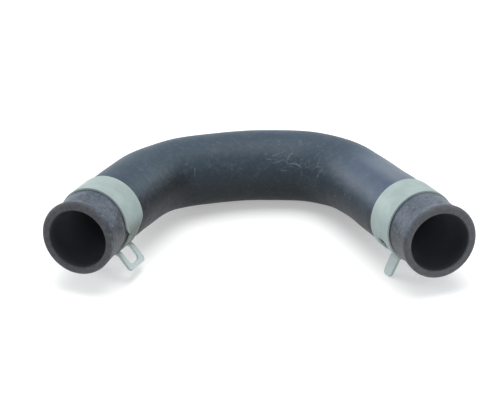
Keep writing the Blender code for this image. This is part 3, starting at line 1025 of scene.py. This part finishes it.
# %% Dust and scuffs
fine_dust = product(
    tree,
    ramp(tree, grain, 0.60, 0.78),
    ramp(tree, clouds, 0.30, 0.7, 0.10, 0.42),
    ramp(tree, depth, *DUSTIER_DEPTH, 0.65, 1.0),
)
skin = blend_colour(tree, fine_dust, skin, PALE_DUST)
worn_line = ramp(tree, noise(tree, place, *WORN), 0.25, 0.6, 0.25, 1.0)
scuffs = product(tree, scuff_mask(tree, uv), worn_line, 0.42)
rubs = product(tree, rub_mask(tree, uv), 0.30)
skin = blend_colour(tree, number(tree, "MAXIMUM", scuffs, rubs), skin, PALE_DUST)
print(len(tree.nodes), "nodes with the dust and the scuffs")

# %% Cut ends, bore and relief
saw = noise(tree, place, *SAW)
# Painted light: the right cut end is painted paler, for the light that falls on it.
right_end_painted_light = product(tree, to_right, 0.36)
cut_share = number(tree, "ADD", ramp(tree, saw, 0.3, 0.7, 0.10, 0.60), right_end_painted_light)
cut_colour = blend_colour(tree, cut_share, CUT_DARK, CUT_PALE)
body_colour = blend_colour(tree, cut_end, skin, cut_colour)
# Painted light: the bore is painted lighter than the skin, and lighter still further in, where
# less light reaches.
bore_colour = blend_colour(tree, ramp(tree, depth, *BORE_LIGHT_DEPTH), BORE_BLACK, BORE_PAINTED_LIGHT)
colour = blend_colour(tree, inside, body_colour, bore_colour)
tree.links.new(colour, shader.inputs["Base Color"])

roughness = ramp(tree, mottle, 0.2, 0.8, 0.46, 0.62)
roughness = number(tree, "MULTIPLY_ADD", cut_end, 0.25, roughness)
tree.links.new(roughness, shader.inputs["Roughness"])
shader.inputs["Specular IOR Level"].default_value = 0.27
shader.inputs["Sheen Weight"].default_value = 0.07
shader.inputs["Sheen Roughness"].default_value = 0.45
shader.inputs["Sheen Tint"].default_value = (0.80, 0.92, 1.0, 1)

relief = number(tree, "MULTIPLY_ADD", grain, 0.5, mottle)
relief = number(tree, "MULTIPLY_ADD", product(tree, cut_end, saw), 1.2, relief)
bump = add(tree, "ShaderNodeBump", {"Height": relief, "Strength": 0.35, "Distance": 0.08 * MM})
tree.links.new(bump.outputs[0], shader.inputs["Normal"])
hose.data.materials.append(rubber)
print(len(tree.nodes), "nodes in the rubber")

# %% [markdown]
# ## Coated spring steel
#
# The strip is dipped in a thin coat that keeps rust away. It dries to a pale grey-green
# with a satin gloss and faint clouds. It is painted paler along the edges as a painted
# highlight, and on the sheared rim, which has a material of its own, and on the ears as
# painted light. It is darker low on the ring, where the tongue leaves it, and one worn spot
# on the left band shows a little brown.

# %% Coated steel
COAT_PALE = (0.2680, 0.3320, 0.3270, 1)
COAT = (0.2290, 0.2880, 0.2800, 1)
COAT_DULL = (0.1950, 0.2430, 0.2330, 1)
COAT_LIT_EAR = (0.4500, 0.5250, 0.5250, 1)
COAT_DARKER_LOW = (0.1050, 0.1240, 0.1120, 1)
EDGE_HIGHLIGHT_GREY = (0.3000, 0.3500, 0.3450, 1)
RIM_HIGHLIGHT_PALE = (0.4000, 0.4500, 0.4420, 1)
RIM_HIGHLIGHT_DULL = (0.3100, 0.3500, 0.3420, 1)
RUST = (0.1150, 0.0780, 0.0420, 1)
COAT_CLOUDS = (120.0, 4.0, 0.55)
COAT_PATCHES = (420.0, 3.0, 0.6)
COAT_GRAIN = (2200.0, 2.0, 0.5)
EDGE_HIGHLIGHT_WANDER = 0.5 * MM
EDGE_HIGHLIGHT_REACH = (1.0 * MM, 0.35 * MM)
RUST_TURN = 323.0
RUST_ACROSS = 3.2
RUST_SIZE = (1.0 * MM, 0.8 * MM)


def coated_steel(name, pale, base, dull, rust_at=None):
    """Coat clouds, a darker patch, painted light on the ears, a painted edge highlight, a rust
    spot.
    """
    material, tree, shader = new_finish(name)
    place = add(tree, "ShaderNodeTexCoord").outputs["Object"]
    uv = add(tree, "ShaderNodeUVMap", uv_map="metres").outputs[0]
    clouds = noise(tree, place, *COAT_CLOUDS)
    patches = noise(tree, place, *COAT_PATCHES)
    grain = noise(tree, place, *COAT_GRAIN)
    colour = blend_colour(tree, ramp(tree, clouds, 0.35, 0.68), base, pale)
    colour = blend_colour(tree, ramp(tree, patches, 0.56, 0.78, 0.0, 0.5), colour, dull)
    # The ring is darker low down, where the tongue leaves it.
    low_tint = add(tree, "ShaderNodeAttribute", attribute_name="low_tint").outputs["Fac"]
    low_tint = product(tree, low_tint, ramp(tree, clouds, 0.2, 0.6, 0.75, 1.0))
    colour = blend_colour(tree, low_tint, colour, COAT_DARKER_LOW)
    # Painted light: the ears and the ring next to them are painted paler.
    on_ear = add(tree, "ShaderNodeAttribute", attribute_name="on_ear").outputs["Fac"]
    colour = blend_colour(tree, product(tree, on_ear, 0.85), colour, COAT_LIT_EAR)
    # Painted highlight: the coat is painted paler along the strip's edges, where a rounded edge
    # catches light.
    from_edge = add(tree, "ShaderNodeAttribute", attribute_name="from_edge").outputs["Fac"]
    edge_highlight = number(tree, "MULTIPLY_ADD", patches, EDGE_HIGHLIGHT_WANDER, from_edge)
    colour = blend_colour(tree, ramp(tree, edge_highlight, *EDGE_HIGHLIGHT_REACH, 0.0, 0.75), colour, EDGE_HIGHLIGHT_GREY)
    if rust_at is not None:
        x, y = squared_place(tree, uv, *rust_at, 0, *RUST_SIZE)
        apart = number(tree, "SUBTRACT", squares_summed(tree, x, y), 0.6)
        ragged = number(tree, "MULTIPLY_ADD", patches, 1.2, apart)
        colour = blend_colour(tree, ramp(tree, ragged, 1.0, 0.2, 0.0, 0.85), colour, RUST)
    tree.links.new(colour, shader.inputs["Base Color"])
    tree.links.new(ramp(tree, clouds, 0.3, 0.75, 0.66, 0.54), shader.inputs["Roughness"])
    shader.inputs["Metallic"].default_value = 0.0
    shader.inputs["Specular IOR Level"].default_value = 0.40
    height = number(tree, "MULTIPLY_ADD", grain, 0.35, patches)
    relief = {"Height": height, "Strength": 0.25, "Distance": 0.05 * MM}
    bump = add(tree, "ShaderNodeBump", relief)
    tree.links.new(bump.outputs[0], shader.inputs["Normal"])
    return material


ring_run = strip_run[len(loop_half):len(loop_half) + len(turns)]
rust_spot = (np.interp(RUST_TURN, turns, ring_run) / MM, RUST_ACROSS)
face_coats = (COAT_PALE, COAT, COAT_DULL)
# Painted light: the sheared rim's coats are paler than the face's, for light that the rim does
# not get.
rim_coats_painted_light = (RIM_HIGHLIGHT_PALE, RIM_HIGHLIGHT_PALE, RIM_HIGHLIGHT_DULL)
for clamp, spot in ((left_clamp, rust_spot), (right_clamp, None)):
    for part, coats in (("_coat", face_coats), ("_rim", rim_coats_painted_light)):
        clamp.data.materials.append(coated_steel(clamp.name + part, *coats, spot))
print("two finishes on each clamp, the rim's in slot", RIM_SLOT)

# %% [markdown]
# ## Floor and light
#
# The floor is a plain pale sheet that glows a little, like the lit table that such pictures
# are taken on, which thins the shadow under the object. The world is a bright, even white,
# so shadows stay soft and the dark rubber picks up a pale rim where it turns away. A large
# area light overhead brightens the upper side. Two smaller ones, low behind the object on
# the left and on the right, give the broad sheen on the inner sides of the bends: a mirror
# there would show the camera those two places. A weak one in front lifts the mouths.
# Blender's Standard view keeps the colours as they are lit, which is how a plain product
# picture is made.

# %% Floor
FLOOR_SIZE = 6.0
FLOOR_PALE = (0.66, 0.66, 0.66, 1)
FLOOR_GLOW = 0.34

corner = np.array([-FLOOR_SIZE / 2, FLOOR_SIZE / 2])
floor_points = np.stack(np.meshgrid(corner, corner, [0.0], indexing="ij"), axis=-1)[:, :, 0]
floor = grid_piece("floor", floor_points, floor_points[..., :2], False, False)
paper, tree, shader = new_finish("lit_table")
shader.inputs["Base Color"].default_value = FLOOR_PALE
shader.inputs["Roughness"].default_value = 0.9
shader.inputs["Emission Color"].default_value = (1.0, 1.0, 1.0, 1)
shader.inputs["Emission Strength"].default_value = FLOOR_GLOW
floor.data.materials.append(paper)

# %% Light
WORLD_COLOUR = (0.97, 0.985, 1.0, 1)
WORLD_STRENGTH = 0.68
LIGHT_DISTANCE = 0.9
LIGHTS = (
    # name, direction from the object, size in metres, watts
    ("overhead", (0.0, 0.05, 1.0), 0.7, 6.8),
    ("back_right", (0.74, 0.57, 0.36), 0.5, 2.2),
    ("back_left", (-0.83, 0.47, 0.30), 0.5, 4.8),
    ("front_right", (0.50, -0.80, 0.34), 0.6, 0.7),
)

world = bpy.data.worlds.new("soft_white")
world.use_nodes = True
background = world.node_tree.nodes["Background"]
background.inputs["Color"].default_value = WORLD_COLOUR
background.inputs["Strength"].default_value = WORLD_STRENGTH
bpy.context.scene.world = world

for name, direction, size, watts in LIGHTS:
    towards = Vector(direction).normalized()
    lamp = bpy.data.lights.new(name, "AREA")
    lamp.size = size
    lamp.energy = watts
    light = bpy.data.objects.new(name, lamp)
    bpy.context.scene.collection.objects.link(light)
    light.location = towards * LIGHT_DISTANCE
    light.rotation_euler = towards.to_track_quat("Z", "Y").to_euler()
bpy.context.scene.view_settings.view_transform = "Standard"
print(len(LIGHTS), "soft lights and a pale world")

# %% [markdown]
# ## Handing over
#
# Each new surface stands for one imported solid, which is hidden, and rides on the one body
# that the object has.

# %% Which solid each piece stands for
for piece, node, slot in (
    (hose, "hose", "rubber"),
    (left_clamp, "left_clamp", "coated_steel"),
    (right_clamp, "right_clamp", "coated_steel"),
):
    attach(piece, "root")
    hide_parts(node)
    print(piece.name, "stands for", node)
